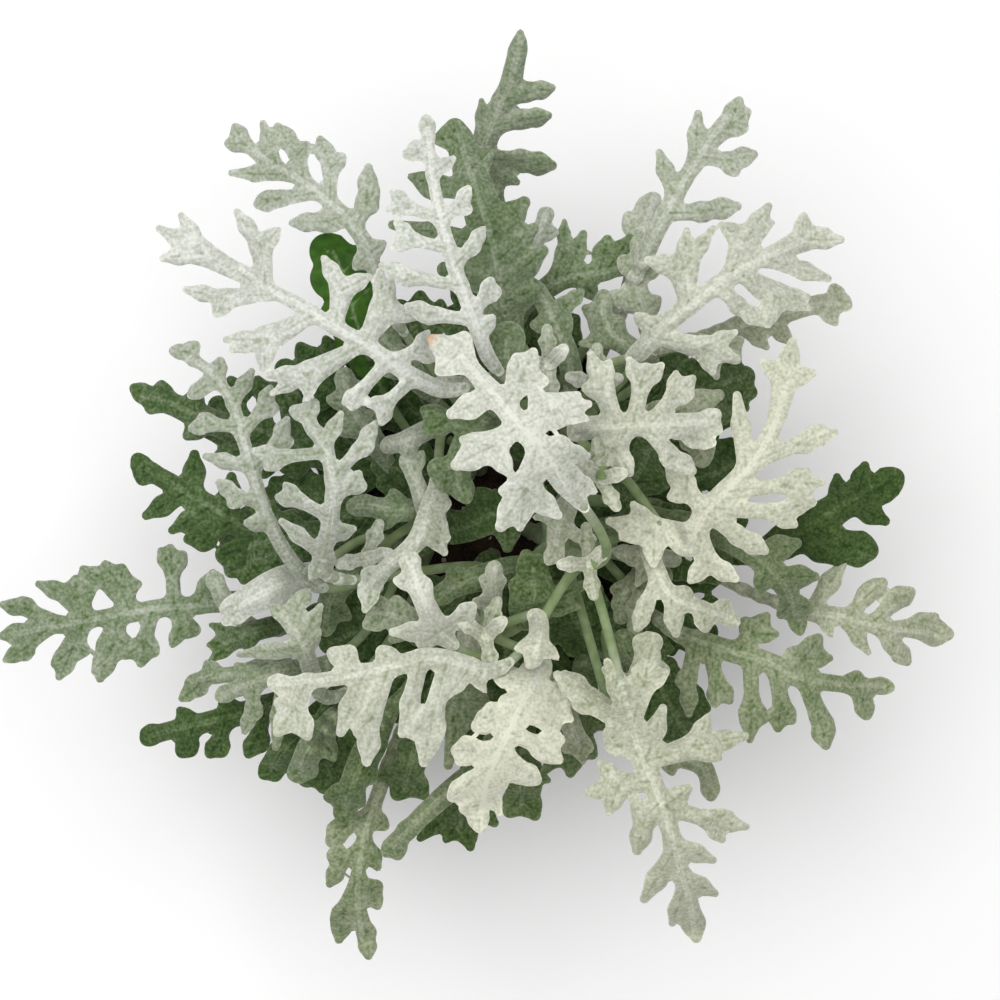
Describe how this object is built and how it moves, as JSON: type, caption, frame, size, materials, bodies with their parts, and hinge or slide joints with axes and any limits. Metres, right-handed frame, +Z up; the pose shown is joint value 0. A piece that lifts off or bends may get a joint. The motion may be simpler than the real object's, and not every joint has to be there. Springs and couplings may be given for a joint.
{
  "type": "potted dusty miller plant",
  "caption": "Silver-leaved bedding plant with deeply lobed, felted leaves on leaning stems, growing in a round nursery pot that stands on its flat base",
  "frame": {"origin": "centre of the pot's flat underside", "axes": "+Z up along the pot's axis, +X to the plant's east side, +Y to its north side"},
  "size_m": [0.2626, 0.2489, 0.2093],
  "materials": {
    "pot_plastic": "satin black moulded plastic",
    "potting_mix": "coarse dark peat and bark",
    "green_stem": "matt, thinly felted",
    "felted_leaf": "matt silver-white felt over green"
  },
  "bodies": {
    "root": {"nursery_pot": "pot_plastic", "potting_soil": "potting_mix", "stem_centre": "green_stem", "stem_north": "green_stem", "stem_northwest": "green_stem", "stem_northeast": "green_stem", "stem_west": "green_stem", "stem_east": "green_stem", "stem_south": "green_stem", "leaf_west_long": "felted_leaf", "leaf_southwest_bright": "felted_leaf", "leaf_west_dark": "felted_leaf", "leaf_northwest_dark": "felted_leaf", "leaf_southwest_low": "felted_leaf", "leaf_south_west_green": "felted_leaf", "leaf_bottom_dark": "felted_leaf", "leaf_bottom_green": "felted_leaf", "leaf_bottom_mid": "felted_leaf", "leaf_bottom_folded": "felted_leaf", "leaf_south_olive": "felted_leaf", "leaf_east_green": "felted_leaf", "leaf_southeast_grey": "felted_leaf", "leaf_southeast_curl": "felted_leaf", "leaf_northwest_green": "felted_leaf", "leaf_northwest_pale": "felted_leaf", "leaf_northeast_grey": "felted_leaf", "leaf_northeast_pale": "felted_leaf", "leaf_northeast_small": "felted_leaf", "leaf_north_upright": "felted_leaf", "leaf_north_broad": "felted_leaf", "leaf_centre_dark": "felted_leaf", "leaf_centre_teal": "felted_leaf", "leaf_inner_teal": "felted_leaf", "leaf_west_flat": "felted_leaf", "leaf_southwest_green": "felted_leaf", "leaf_south_left": "felted_leaf", "leaf_southwest_mid": "felted_leaf", "leaf_west_fern": "felted_leaf", "leaf_southwest_fern": "felted_leaf", "leaf_west_arching": "felted_leaf", "leaf_inner_grey": "felted_leaf", "leaf_east_drooping": "felted_leaf", "leaf_east_curled": "felted_leaf", "leaf_east_inner": "felted_leaf", "leaf_centre_green": "felted_leaf", "leaf_centre_pale": "felted_leaf", "leaf_southwest_silver": "felted_leaf", "leaf_southwest_big": "felted_leaf", "leaf_southeast_inner": "felted_leaf", "leaf_south_big": "felted_leaf", "leaf_south_white": "felted_leaf", "leaf_centre_back": "felted_leaf", "leaf_centre_top": "felted_leaf", "leaf_northwest_big": "felted_leaf", "leaf_north_fern": "felted_leaf", "leaf_northeast_big": "felted_leaf", "leaf_east_big": "felted_leaf", "leaf_east_fan": "felted_leaf", "leaf_centre_silver": "felted_leaf"}
  },
  "joints": []
}
